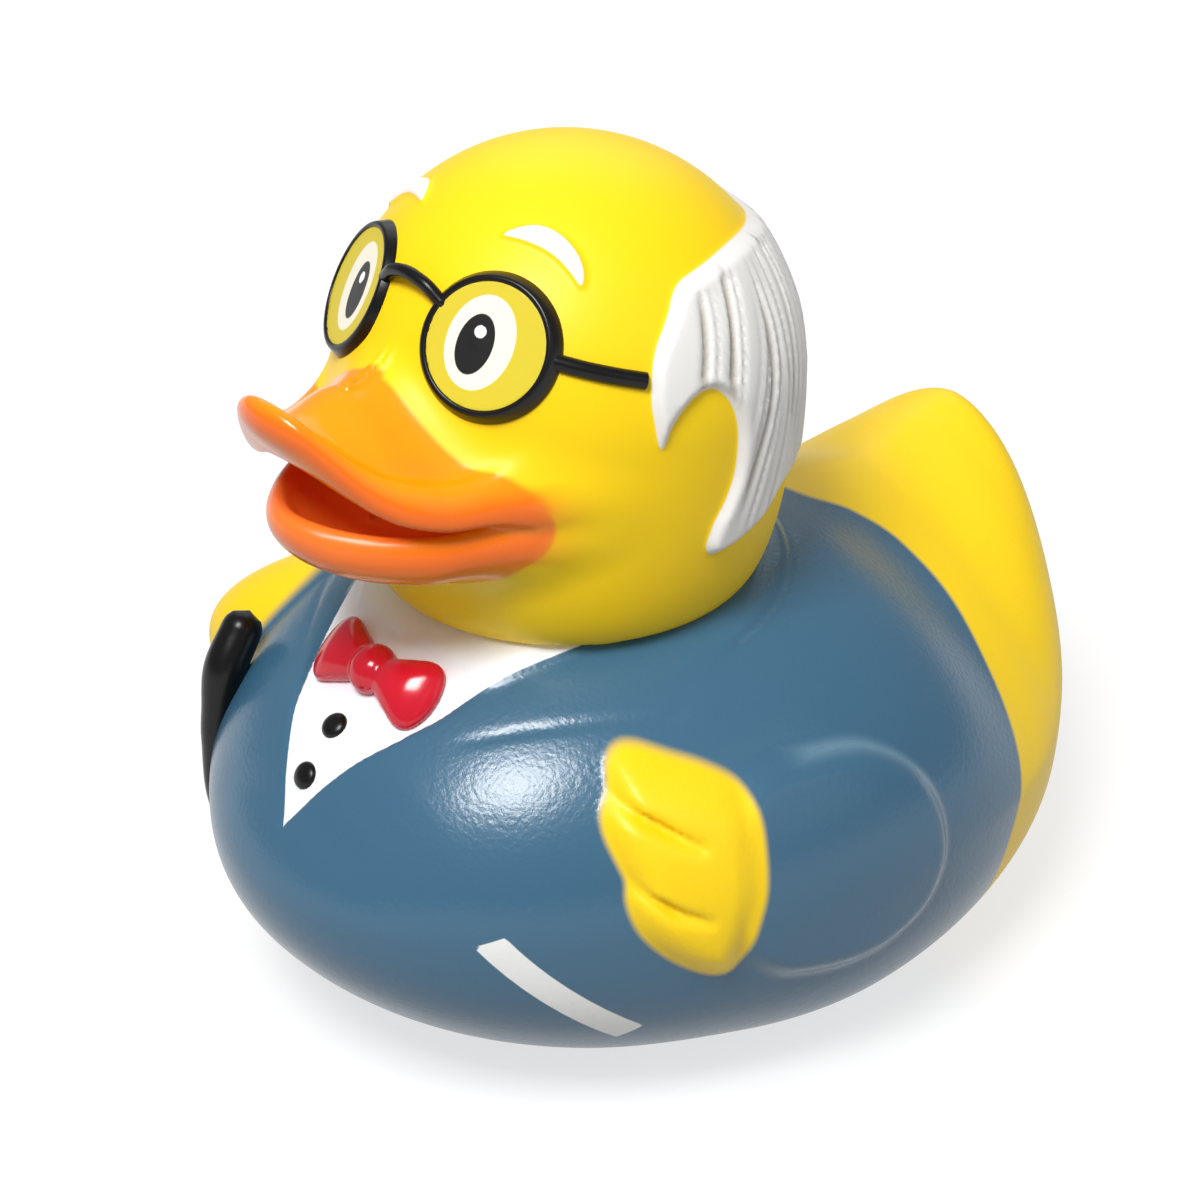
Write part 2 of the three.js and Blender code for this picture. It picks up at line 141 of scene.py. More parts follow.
def bodyForm(x, y, z):
    turn = np.arccos(np.clip(-y / body["halfLength"], -1, 1)) / math.pi
    belt = bodyLines["belt"](turn)
    above = z > belt
    height = np.where(above, bodyLines["rise"](turn), bodyLines["sink"](turn))
    full = np.where(above, bodyLines["fullAbove"](turn), bodyLines["fullBelow"](turn))
    across = np.abs(x) / body["halfWidth"]
    up = np.abs(z - belt) / height
    along = y / body["halfLength"]
    section = (across ** full + up ** full + 1e-12) ** (1 / full)
    reach = np.sqrt(section ** 2 + along ** 2)
    steep = np.sqrt((across / body["halfWidth"]) ** 2 + (up / height) ** 2 + (along / body["halfLength"]) ** 2)
    return (reach - 1) * reach / np.maximum(steep, 0.004)


# head: a dome that swells in from the neck
head = {"radius": 21.0, "y": -10.7, "z": 62.0, "neckRadius": 16.2, "neckZ": 42.0, "neckHalf": 6}


def headForm(x, y, z):
    r = np.hypot(x, y - head["y"])
    dz = z - head["z"]
    dome = np.hypot(r, dz) - head["radius"]
    swell = head["radius"] - head["neckRadius"]
    drop = head["z"] - head["neckZ"]
    side = np.maximum(r - head["neckRadius"], 0)
    e = np.hypot(side / swell, dz / drop)
    lower = (e - 1) * e / np.maximum(np.hypot(side / swell ** 2, dz / drop ** 2), 0.002)
    neck = np.maximum(r - head["neckRadius"], np.abs(z - head["neckZ"]) - head["neckHalf"])
    return np.minimum(np.where(dz > 0, dome, lower), neck)


def headPlace(x, y, z):
    # yaw away from the bill on either side, and pitch above the middle of the head, in degrees
    yaw = np.degrees(np.arctan2(np.abs(x), head["y"] - y))
    pitch = np.degrees(np.arctan2(z - head["z"], np.hypot(x, y - head["y"])))
    return yaw, pitch


def onHead(yaw, pitch, out=0.0):
    yaw, pitch = math.radians(yaw), math.radians(pitch)
    r = head["radius"] + out
    return (r * math.sin(yaw) * math.cos(pitch), head["y"] - r * math.cos(yaw) * math.cos(pitch),
            head["z"] + r * math.sin(pitch))


# bill: two spooned halves with round lips, open at the tip and meeting at the corners of the mouth
bill = {
    # where the paint ends on the head, as (yaw, pitch)
    "rootOutline": [(-20, 11), (0, 16), (6.9, 9.6), (16, 4.6), (27, -0.6), (38, -4.2), (43.5, -7.2),
                    (46.2, -13.3), (44.8, -19), (39, -23.5), (30, -27), (15, -30), (0, -31), (-20, -30)],
    "mmPerDegree": 0.36,
    "root": 9.5, "upperReach": 34.1, "lowerReach": 31.9, "tipRound": 9.5,
    "upperLip": 1.9, "lowerLip": 2.2, "fillet": 4.0, "mouthFillet": 0.8, "lowerWidthShare": 0.97, "crown": 2.1,
    "halfWidth": [(0, 16.6), (0.18, 15.9), (0.4, 13.9), (0.6, 11.9), (0.8, 9.9), (1, 8.2)], "roll": 0.6,
    "upperEdge": [(0, 57.7), (0.18, 58.1), (0.37, 58.2), (0.53, 58.1), (0.69, 59.1), (0.77, 60.4), (0.83, 62.0),
                  (0.89, 64.0), (0.95, 65.9), (1, 66.8)],
    "lowerEdge": [(0, 55.8), (0.24, 54.9), (0.45, 54.5), (0.62, 54.3), (0.79, 54.5), (0.92, 54.9), (1, 55.7)],
    "ridge": [(0, 64), (0.38, 66.2), (0.5, 67.0), (0.7, 66.9), (0.82, 67.4), (0.93, 68.3), (1, 68.6)],
    "palate": [(0, 61), (0.4, 61.2), (0.7, 61.6), (0.85, 62.3), (1, 64.4)],
    "floor": [(0, 54), (0.4, 53.2), (0.7, 53.4), (1, 55)],
    "chin": [(0, 47.5), (0.3, 48.6), (0.6, 49.6), (0.85, 50.8), (1, 52.8)],
}
billNames = ("halfWidth", "upperEdge", "lowerEdge", "ridge", "palate", "floor", "chin")
billLines = {name: smoothLine(bill[name]) for name in billNames}
billOutline = closedCurve(bill["rootOutline"], 4) * bill["mmPerDegree"]


def billHalf(x, y, z, reach, edgeName, topName, bottomName, lip, widthShare, crown):
    forward = head["y"] - y
    share = np.clip((forward - bill["root"]) / (reach - bill["root"]), 0, 1)
    width = billLines["halfWidth"](share) * widthShare
    u = np.clip(np.abs(x) / width, 0, 1)
    tip = np.maximum(forward - (reach - bill["tipRound"]), 0) / bill["tipRound"]
    plan = np.hypot(np.abs(x) / width, tip)
    slant = np.hypot(np.abs(x) / width ** 2, tip / bill["tipRound"])
    outside = (plan - 1) * plan / np.maximum(slant, 0.02)
    outside = np.maximum(outside, bill["root"] - 4 - forward)
    edge = billLines[edgeName](share)
    fade = 1 - np.clip(np.maximum(u, plan), 0, 1) ** 2
    top = edge + lip + (billLines[topName](share) - edge - lip) * fade ** crown
    top = top + bill["roll"] * np.exp(-((outside + 1.4) / 1.2) ** 2)
    bottom = edge - lip + (billLines[bottomName](share) - edge + lip) * fade
    slab = np.abs(z - (top + bottom) / 2) - (top - bottom) / 2
    a, b = outside + lip, slab + lip
    return np.minimum(np.maximum(a, b), 0) + np.hypot(np.maximum(a, 0), np.maximum(b, 0)) - lip


def billForm(x, y, z):
    upper = billHalf(x, y, z, bill["upperReach"], "upperEdge", "ridge", "palate", bill["upperLip"], 1.0, bill["crown"])
    lower = billHalf(x, y, z, bill["lowerReach"], "lowerEdge", "floor", "chin", bill["lowerLip"],
                     bill["lowerWidthShare"], 1.0)
    return upper, lower


def mouthMask(x, y, z):
    # the inside of the mouth, between the two halves and behind the lips
    forward = head["y"] - y
    share = np.clip((forward - bill["root"]) / (bill["upperReach"] - bill["root"]), 0, 1)
    width = billLines["halfWidth"](share)
    tip = np.maximum(forward - (bill["upperReach"] - bill["tipRound"]), 0) / bill["tipRound"]
    inside = (np.hypot(np.abs(x) / width, tip) - 1) * 9 + 1.7
    fade = 1 - np.clip(np.hypot(np.abs(x) / width, tip), 0, 1) ** 2
    roof = billLines["upperEdge"](share) + (billLines["ridge"](share) - billLines["upperEdge"](share)) * 0.75 * fade
    base = billLines["lowerEdge"](share) - 1.6 * fade
    return np.maximum(inside, np.maximum(z - roof, base - z))


# hair: a fringe round the sides and back, outlined as (yaw, height) and combed
hair = {
    "lift": 0.85, "edge": 1.1, "mmPerDegree": 0.36,
    "outline": [(205, 74.5), (160, 75.2), (133, 75.9), (112, 76.2), (93, 75.7), (83, 75.0), (77.5, 73.2), (71.6, 70.6),
                (69.4, 67.5), (69.7, 65.0), (71.2, 62.5), (74.2, 64.5), (78.3, 66.0), (83, 66.8), (87, 66.6),
                (91, 65.0), (93, 62.7), (93.2, 60.2), (92.3, 57.9), (89.8, 55.7), (86.6, 53.6), (85.3, 51.6),
                (88, 50.6), (96, 51.0), (106, 52.2), (114, 54.0), (135, 54.6), (160, 53.6), (205, 53.6)],
    "strands": 17, "firstYaw": 76.5, "spacing": 6.5, "lean": 0.34, "grooveWidth": 0.46, "grooveDepth": 0.62,
}
hairOutline = closedCurve(hair["outline"]) * (hair["mmPerDegree"], 1)


def hairMask(x, y, z):
    yaw, pitch = headPlace(x, y, z)
    return outlineDistance(yaw * hair["mmPerDegree"], z, hairOutline)


def strandDepth(x, y, z):
    # grooves between the combed strands, leaning forward towards the temples
    yaw, pitch = headPlace(x, y, z)
    lean = hair["lean"] * np.clip((180 - yaw) / 90, 0, 1)
    combed = yaw - lean * pitch
    depth = np.zeros(x.shape)
    for k in range(hair["strands"]):
        wander = 1.6 * math.sin(2.4 * k) + 1.2 * np.sin(pitch * 0.09 + 1.7 * k)
        centre = hair["firstYaw"] + hair["spacing"] * k + wander
        off = (combed - centre) * hair["mmPerDegree"] / hair["grooveWidth"]
        start, end = 34 + 9 * math.sin(1.3 * k), -18 + 16 * math.sin(2.1 * k + 1)
        along = ease(pitch - start, 16) * ease(end - pitch, 16)
        depth += (0.6 + 0.4 * math.cos(3.1 * k)) * along * np.exp(-off * off)
        fine = (combed - centre - 3.6) * hair["mmPerDegree"] / (0.6 * hair["grooveWidth"])
        depth += 0.45 * ease(pitch - start - 6, 20) * ease(end - 6 - pitch, 20) * np.exp(-fine * fine)
    return hair["grooveDepth"] * depth


# brows: raised crescents over the spectacles, outlined as (yaw, pitch)
brow = {
    "lift": 0.55, "edge": 0.8, "mmPerYaw": 0.236, "mmPerPitch": 0.3665,
    "outline": [(25.0, 53.0), (31, 55.4), (39, 56.2), (47, 54.0), (52.6, 49.6), (54.6, 44.9), (53.6, 41.2),
                (50.8, 44.2), (46.8, 47.6), (41.5, 50.2), (34, 52.0), (28, 52.6)],
}
browOutline = closedCurve(brow["outline"], 4) * (brow["mmPerYaw"], brow["mmPerPitch"])


def browMask(x, y, z):
    yaw, pitch = headPlace(x, y, z)
    return outlineDistance(yaw * brow["mmPerYaw"], pitch * brow["mmPerPitch"], browOutline)


# spectacles: round rims about flat lenses, a bridge and two temples, all raised from the head
spectacles = {
    "yaw": 28.1, "pitch": 26.4, "lensRadius": 5.4, "rimWidth": 0.6, "facingYaw": 25.5,
    "facingPitch": 27.5, "lensDepth": 0.0, "wire": 0.76,
    # outward from the lens edge, and proud of the lens
    "rim": [(0, -1.8), (0, 0.02), (0.06, 0.11), (0.16, 0.15), (0.36, 0.15), (0.5, 0.09), (0.6, -0.05),
            (1.05, -0.95), (1.15, -1.8)],
    "bridgeAngle": 148, "bridgeSink": -0.35, "bridgeShare": 0.8, "templeOut": 0.05, "sides": 16,
    "temple": [(46, 24.0), (53.5, 22.1), (61, 20.2), (68.3, 18.3)],
}
facingYaw, facingPitch = math.radians(spectacles["facingYaw"]), math.radians(spectacles["facingPitch"])
lensCentre = np.array(onHead(spectacles["yaw"], spectacles["pitch"], -spectacles["lensDepth"]))
lensOut = np.array([math.sin(facingYaw) * math.cos(facingPitch), -math.cos(facingYaw) * math.cos(facingPitch),
                    math.sin(facingPitch)])
lensAcross = np.array([math.cos(facingYaw), math.sin(facingYaw), 0])
lensUp = np.cross(lensOut, lensAcross)
rimMiddle = spectacles["lensRadius"] + spectacles["rimWidth"] / 2


def lensPlace(x, y, z):
    # across (away from the bill), up and out of the nearer lens
    d = np.stack([np.abs(x) - lensCentre[0], y - lensCentre[1], z - lensCentre[2]])
    return [np.tensordot(axis, d, 1) for axis in (lensAcross, lensUp, lensOut)]


def rimPoint(angle, out=0.0):
    a = math.radians(angle)
    return lensCentre + rimMiddle * (math.cos(a) * lensAcross + math.sin(a) * lensUp) + out * lensOut


def lensForm(x, y, z):
    # a flat round plateau that the lens and its rim stand on
    across, up, out = lensPlace(x, y, z)
    return np.maximum(np.maximum(out, -3 - out), np.hypot(across, up) - rimMiddle)


# dress: hem and neckline of the jacket, lapels, shirt front, sleeves and hands
jacket = {
    "hem": [(-5, 11.5), (11, 14.4), (19.5, 17.7), (23, 19.4), (27.6, 21.5), (33.5, 23.5), (36.8, 22.8),
            (39.3, 20.4), (41.3, 16.4), (46, 8)],
    "shirt": [(-60, -6), (-44.4, 0), (-41.7, 2.6), (-40, 4.2), (-38, 5.9), (-36, 7.2), (-34, 8.4), (-31.5, 9.7),
              (-28, 11.2), (-24, 12.8), (-21, 13.9), (-19, 14.4), (-10, 15.6)],
    "shirtDepth": 0.9, "shirtShift": -0.8, "collarRadius": 20.7, "collarLift": 0.4, "wingLift": 0.28,
    "wing": [(1.2, -25), (1.1, -29.6), (5, -29.3), (9.2, -28.4), (12.4, -25.2), (12, -21)],
    "lapel": [(11.0, -33.9), (14.1, -30.2), (17.5, -26.0), (20.2, -22.3), (22.6, -18.6)],
    "lapelDepth": 0.14, "lapelWidth": 0.42, "lapelMiddleY": -25, "lapelHalf": 8,
    "shoulderZ": 34, "frontY": -8, "frontLowZ": 20, "collarFrontY": -12,
}
hemLine = smoothLine(jacket["hem"])
shirtLine = smoothLine(jacket["shirt"])
lapelLine = smoothLine([(y, x) for x, y in jacket["lapel"]])
sleeve = {
    "lift": 1.3, "edge": 2.6, "inset": 0.8, "flankX": 20,
    "outline": [(-15.2, 34.1), (-10, 34.4), (-4.6, 33.8), (-0.9, 32.2), (2.4, 29.3), (4, 25.8), (4.3, 21.9),
                (3.5, 18.5), (1.3, 15.6), (-2.7, 13.7), (-7.1, 13), (-12.7, 13.7), (-16.7, 15.1), (-20, 18.5),
                (-21.5, 25), (-19.5, 31)],
}
sleeveOutline = closedCurve(sleeve["outline"], 3)
# hands are outlined as (forward along the flank, height)
hand = {
    "lift": 1.9, "gripLift": 5.6, "gripAt": (5.4, 29.8), "gripHalf": (8.8, 9.0), "round": 3.4,
    "groove": 1.1, "grooveWidth": 0.5, "forward": (-0.555, -0.832),
    "outline": [(8.8, 35.7), (7.9, 36.5), (6.3, 36.5), (3.6, 35.7), (0.6, 34.7), (-2.2, 33.2), (-3.7, 31.3),
                (-4.1, 28.5), (-4.1, 25), (-3.5, 22.4), (-2.5, 19.4), (-1.1, 17.2), (0.7, 17.3), (3.3, 18.9),
                (5.6, 21.0), (7.2, 23.2), (8.0, 25.6), (8.0, 27.4), (8.8, 29.2), (9.6, 31.0), (9.7, 32.5), (9.0, 33.9)],
    "grooves": [[(9.2, 34.0), (5.6, 32.0), (3.8, 31.0), (1.4, 29.8)],
                [(8.4, 27.7), (5.9, 26.0), (3.7, 24.6), (1.0, 23.4)]],
}
handOutline = closedCurve(hand["outline"], 3)


def shirtMask(x, y, z):
    wide = np.abs(x - jacket["shirtShift"]) - shirtLine(y)
    return np.where(z > jacket["frontLowZ"], wide * 0.85, 9.0)


def handPlace(x, y):
    return hand["forward"][0] * np.abs(x) + hand["forward"][1] * y


def handMask(x, y, z):
    return np.where(np.abs(x) > 14, outlineDistance(handPlace(x, y), z, handOutline), 9.0)


def gripReach(x, y, z):
    # share of the way from the middle of the closed right hand to its edge
    (s0, z0), (across, up) = hand["gripAt"], hand["gripHalf"]
    return np.hypot((handPlace(x, y) - s0) / across, (z - z0) / up)


def featherGroove(x, y, z):
    # grooves between the feathers, dying out towards the sleeve
    s = handPlace(x, y)
    groove = np.zeros(s.shape)
    for stops in hand["grooves"]:
        off = np.full(s.shape, 9.0)
        for (au, av), (bu, bv) in zip(stops[:-1], stops[1:]):
            off = np.minimum(off, barDistance(0 * s, s, z, (0, au, av), (0, bu, bv), 0, 0))
        groove = np.maximum(groove, np.exp(-(off / hand["grooveWidth"]) ** 2))
    return groove * np.clip((s + 0.5) / 5, 0, 1)


def dressRelief(x, y, z):
    flank = ease(sleeve["flankX"] - np.abs(x), 6)
    arm = sleeve["lift"] * ease(outlineDistance(y, z, sleeveOutline) + sleeve["inset"], sleeve["edge"])
    inside = np.clip((0.4 - handMask(x, y, z)) / hand["round"], 0, 1)
    palm = hand["lift"] * np.sin(math.pi / 2 * inside) - hand["groove"] * featherGroove(x, y, z) * inside
    fist = hand["gripLift"] * np.cos(math.pi / 2 * np.clip(gripReach(x, y, z), 0, 1))
    relief = -blendJoin(-arm * flank, -np.where(x < 0, fist, palm), 0.6)
    ring = np.hypot(x, y - head["y"])
    upper = ease(jacket["shoulderZ"] - z, 4)
    behind = ease(jacket["collarFrontY"] - y, 10)
    relief = relief + jacket["collarLift"] * ease(ring - jacket["collarRadius"], 0.8) * upper * behind
    lapelFade = ease(np.abs(y - jacket["lapelMiddleY"]) - jacket["lapelHalf"], 4) * upper
    lapelOff = (np.abs(x) - lapelLine(y)) * 0.75
    relief = relief - jacket["lapelDepth"] * np.exp(-(lapelOff / jacket["lapelWidth"]) ** 2) * lapelFade
    front = ease(y - jacket["frontY"], 10) * ease(jacket["frontLowZ"] - z, 4)
    wing = outlineDistance(np.abs(x), y, np.array(jacket["wing"]))
    shirt = shirtMask(x, y, z)
    relief = relief + jacket["wingLift"] * ease(wing, 0.5) * ease(shirt + 1.2, 1.0) * front
    # the shirt lies deepest behind the tie, and rises to a collar at the neck
    depth = jacket["shirtDepth"] * (0.25 + 0.75 * ease(-37 - y, 8)) * (1.4 * ease(22 - ring, 6) - 0.4)
    return relief - depth * ease(shirt, 0.8) * front


def bodyPiece(x, y, z):
    form = bodyForm(x, y, z)
    near = np.abs(form) < 7
    form[near] -= dressRelief(x[near], y[near], z[near])
    return blendCut(form, -z, body["baseRound"])


# bow tie and buttons on the shirt front
tie = {
    "x": -0.7, "y": -32.8, "lobeReach": 7.8, "lobeHalf": 4.1, "waistHalf": 1.5, "endRound": 3.0, "thick": 1.6,
    "knot": (2.2, 2.4, 2.1), "cell": 0.2,
}
buttons = {"x": -0.8, "radius": 1.3, "height": 0.55, "places": (-37.8, -41.3)}


def chestHeight(y):
    # height of the shirt's front line at x = 0, found by halving
    low, high = 20.0, 60.0
    for k in range(30):
        middle = (low + high) / 2
        at = bodyPiece(np.array([0.0]), np.array([y]), np.array([middle]))[0]
        low, high = (middle, high) if at < 0 else (low, middle)
    return low


def chestFrame(y):
    # a place on the front line, with the way down it and the way out of it
    lower, upper = chestHeight(y - 0.5), chestHeight(y + 0.5)
    down = np.array([0, -1.0, lower - upper])
    down = down / np.linalg.norm(down)
    return np.array([0, y, chestHeight(y)]), down, np.array([0, down[2], -down[1]])


tiePlace, tieDown, tieOut = chestFrame(tie["y"])


def tieForm(x, y, z):
    d = np.stack([x, y - tiePlace[1], z - tiePlace[2]])
    along, down, out = np.abs(x - tie["x"]), np.tensordot(tieDown, d, 1), np.tensordot(tieOut, d, 1) - 0.5
    sag = 0.012 * along ** 2
    spread = np.clip((along - 0.8) / (tie["lobeReach"] - tie["endRound"] * 0.5), 0, 1)
    half = tie["waistHalf"] + (tie["lobeHalf"] - tie["waistHalf"]) * spread
    thick = tie["thick"] * (0.8 + 0.35 * np.sin(math.pi * spread))
    end = np.maximum(along - tie["lobeReach"] + tie["endRound"], 0) / tie["endRound"]
    e = np.sqrt((down / half) ** 2 + ((out + sag) / thick) ** 2 + end ** 2)
    steep = np.sqrt((down / half ** 2) ** 2 + ((out + sag) / thick ** 2) ** 2 + (end / tie["endRound"]) ** 2)
    lobes = (e - 1) * e / np.maximum(steep, 0.1)
    a, b, c = tie["knot"]
    knot = (np.sqrt((along / a) ** 2 + (down / b) ** 2 + ((out - 0.2) / c) ** 2) - 1) * a
    return blendJoin(lobes, knot, 0.3)


# walking stick held in the right hand, laid down the flank
stick = {
    "stops": [(-20.3, -34.0, 34.6), (-20.1, -36.2, 31.4), (-20.1, -37.1, 28), (-20.4, -37.6, 24), (-20.8, -37.6, 19),
              (-20.8, -37.1, 14)],
    "radii": [2.0, 2.1, 1.8, 1.5, 1.3, 1.0], "sides": 28,
}


def headPiece(x, y, z):
    form = headForm(x, y, z)
    near = np.abs(form) < 5
    hx, hy, hz = x[near], y[near], z[near]
    mask = hairMask(hx, hy, hz)
    lift = hair["lift"] * ease(mask + 0.35, hair["edge"])
    lift -= strandDepth(hx, hy, hz) * ease(mask + 1.0, 1.4)
    lift += brow["lift"] * ease(browMask(hx, hy, hz), brow["edge"])
    form[near] -= lift
    form = np.minimum(form, lensForm(x, y, z))
    upper, lower = billForm(x, y, z)
    return blendJoin(form, blendJoin(upper, lower, bill["mouthFillet"]), bill["fillet"])


# meshing: fill a fine grid only near the surface, skin it, then settle each point on the true surface
def slopeOf(points, form, reach=0.05):
    x, y, z = points.T
    return np.stack([form(x + reach, y, z) - form(x - reach, y, z),
                     form(x, y + reach, z) - form(x, y - reach, z),
                     form(x, y, z + reach) - form(x, y, z - reach)], 1) / (2 * reach)


def skin(form, low, high, cell, block=4):
    low, high = np.array(low, float), np.array(high, float)
    coarse = cell * block
    count = np.ceil((high - low) / coarse).astype(int) + 1
    axes = [low[k] + coarse * (np.arange(count[k]) + 0.5) - cell / 2 for k in range(3)]
    gx, gy, gz = np.meshgrid(*axes, indexing="ij")
    rough = form(gx.ravel(), gy.ravel(), gz.ravel()).reshape(count)
    dense = np.repeat(np.repeat(np.repeat(np.sign(rough) * 3, block, 0), block, 1), block, 2).astype(np.float32)
    busy = np.argwhere(np.abs(rough) < coarse * 1.6)
    inner = np.stack(np.meshgrid(*[np.arange(block)] * 3, indexing="ij"), -1).reshape(-1, 3)
    cells = (busy[:, None] * block + inner[None]).reshape(-1, 3)
    dense[tuple(cells.T)] = np.concatenate([form(*(low + part * cell).T) for part in np.array_split(cells, 8)])
    grid = openvdb.FloatGrid(background=3.0)
    grid.copyFromArray(dense)
    points, quads = grid.convertToQuads(0.0)
    points = low + np.array(points, float) * cell
    for k in range(3):
        slope = slopeOf(points, form)
        steep = np.maximum((slope ** 2).sum(1), 0.2)
        points = points - np.clip(form(*points.T) / steep, -0.6 * cell, 0.6 * cell)[:, None] * slope
    return points, quads[:, ::-1]


def addPiece(name, points, faces, zones=None):
    # makes a smooth piece, with its paint zones kept on the mesh for the paint to read
    mesh = bpy.data.meshes.new(name)
    mesh.from_pydata((np.asarray(points) * metresPerMm).tolist(), [], [tuple(map(int, face)) for face in faces])
    mesh.update()
    mesh.polygons.foreach_set("use_smooth", [True] * len(mesh.polygons))
    for zone, values in (zones or {}).items():
        layer = mesh.attributes.new(zone, "FLOAT", "POINT")
        layer.data.foreach_set("value", np.clip(values, -20, 20).astype(np.float32))
    piece = bpy.data.objects.new(name, mesh)
    bpy.context.scene.collection.objects.link(piece)
    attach(piece, "root")
    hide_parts("duck")
    print(name + ":", len(points), "points")
    return piece


def sweep(rings):
    # quads along a run of rings with rounded-off, closed ends
    rings = np.array(rings)
    count, sides = rings.shape[:2]
    points = np.concatenate([rings.reshape(-1, 3), rings[0].mean(0)[None], rings[-1].mean(0)[None]])
    faces = [(r * sides + k, r * sides + (k + 1) % sides, (r + 1) * sides + (k + 1) % sides, (r + 1) * sides + k)
             for r in range(count - 1) for k in range(sides)]
    first, last = count * sides, count * sides + 1
    caps = [(first, (k + 1) % sides, k) for k in range(sides)]
    caps += [(last, (count - 1) * sides + k, (count - 1) * sides + (k + 1) % sides) for k in range(sides)]
    return points, faces + caps


def tubeRings(stops, radii, sides, perSpan=8, endRound=1.0):
    # rings of a round bar along smooth stops, domed at both ends
    stops, radii = np.array(stops, float), np.array(radii, float)
    places = np.linspace(0, len(stops) - 1, (len(stops) - 1) * perSpan + 1)
    path = np.stack([smoothLine(list(enumerate(stops[:, k])))(places) for k in range(3)], 1)
    width = smoothLine(list(enumerate(radii)))(places)
    along = np.gradient(path, axis=0)
    along /= np.linalg.norm(along, axis=1)[:, None]
    dome = [math.sin(math.pi / 2 * k / 5) for k in range(5)]
    centres = [path[0] - along[0] * width[0] * endRound * (1 - d) for d in dome]
    centres += list(path) + [path[-1] + along[-1] * width[-1] * endRound * (1 - d) for d in dome[::-1]]
    sizes = [width[0] * math.sqrt(max(1 - (1 - d) ** 2, 0.0004)) for d in dome]
    sizes += list(width) + [width[-1] * math.sqrt(max(1 - (1 - d) ** 2, 0.0004)) for d in dome[::-1]]
    ways = [along[0]] * 5 + list(along) + [along[-1]] * 5
    side = np.cross(along[0], (0.3, 0.2, 1.0))
    rings = []
    for centre, size, way in zip(centres, sizes, ways):
        side = side - way * (side @ way)
        side = side / np.linalg.norm(side)
        other = np.cross(way, side)
        turn = 2 * math.pi * np.arange(sides)[:, None] / sides
        rings.append(centre + size * (np.cos(turn) * side + np.sin(turn) * other))
    return rings


def joined(parts):
    points, faces, start = [], [], 0
    for part, own in parts:
        points.append(part)
        faces += [tuple(start + corner for corner in face) for face in own]
        start += len(part)
    return np.concatenate(points), faces


def bothSides(part):
    points, faces = part
    return [part, (points * (-1, 1, 1), [face[::-1] for face in faces])]


def toLinear(hexColour):
    channels = [int(hexColour[k:k + 2], 16) / 255 for k in (1, 3, 5)]
    return [c / 12.92 if c <= 0.04045 else ((c + 0.055) / 1.055) ** 2.4 for c in channels] + [1.0]


def addNode(tree, kind, settings=None, values=None):
    # adds a node, sets its properties, and fills or links its inputs
    node = tree.nodes.new(kind)
    for key, value in (settings or {}).items():
        setattr(node, key, value)
    for key, value in (values or {}).items():
        if isinstance(value, bpy.types.NodeSocket):
            tree.links.new(value, node.inputs[key])
        else:
            node.inputs[key].default_value = value
    return node


def sprayedVinyl(name, look, coats=()):
    # soft PVC with lacquers sprayed or tampo printed on it: satin where bare, glossier where painted,
    # with a fine orange peel that breaks up the highlights, drawn coarser than real peel so that it shows.
    # A coat is (zone, colour, soft edge in mm, roughness)
    material = bpy.data.materials.new(name)
    material.use_nodes = True
    tree = material.node_tree
    shader = tree.nodes["Principled BSDF"]
    shader.inputs["Base Color"].default_value = toLinear(look["colour"])
    shader.inputs["Roughness"].default_value = look["roughness"]
    shader.inputs["Specular IOR Level"].default_value = look["sheen"]
    colour, roughness = toLinear(look["colour"]), look["roughness"]
    for zone, coat, soft, rough in coats:
        mask = addNode(tree, "ShaderNodeAttribute", {"attribute_name": zone}).outputs["Fac"]
        cover = addNode(tree, "ShaderNodeMapRange", {"interpolation_type": "SMOOTHSTEP"},
                        {0: mask, 1: soft / 2, 2: -soft / 2}).outputs["Result"]
        colour = addNode(tree, "ShaderNodeMix", {"data_type": "RGBA"},
                         {0: cover, 6: colour, 7: toLinear(coat)}).outputs[2]
        roughness = addNode(tree, "ShaderNodeMix", {"data_type": "FLOAT"},
                            {0: cover, 2: roughness, 3: rough}).outputs[0]
    if coats:
        tree.links.new(colour, shader.inputs["Base Color"])
        tree.links.new(roughness, shader.inputs["Roughness"])
    place = addNode(tree, "ShaderNodeTexCoord").outputs["Object"]
    peel = addNode(tree, "ShaderNodeTexNoise", None,
                   {"Vector": place, "Scale": 1 / (look["peelMm"] * metresPerMm), "Detail": 2.0})
    bump = addNode(tree, "ShaderNodeBump", None,
                   {"Height": peel.outputs["Fac"], "Strength": 1.0, "Distance": look["peelDepthMm"] * metresPerMm})
    tree.links.new(bump.outputs["Normal"], shader.inputs["Normal"])
    return material


# body, with the jacket, shirt, hands and stripe sprayed on it
bodyLook = {
    "cell": 0.5, "colour": "#FFD600", "roughness": 0.45, "sheen": 0.5, "peelMm": 0.5, "peelDepthMm": 0.035,
    # the pale blue coat on the sleeve's edge and the collar line is partly painted highlight, partly rubbed paint
    "coats": [("jacket", "#3B6682", 0.7, 0.25), ("wearAndHighlight", "#6E90A3", 1.3, 0.3), ("hand", "#FFD600", 0.9, 0.45),
              ("stripe", "#F4F4F2", 0.12, 0.40), ("shirt", "#F2F4FA", 0.12, 0.42)],
    "stripe": [(-38.05, 22.1), (-35.0, 16.6), (-27.1, 10.5)], "stripeHalf": 1.12,
    "paleLineInset": 0.5, "paleLineHalf": 0.2, "paleLineFromY": -9, "collarLine": 20.9, "collarFromY": -8,
}


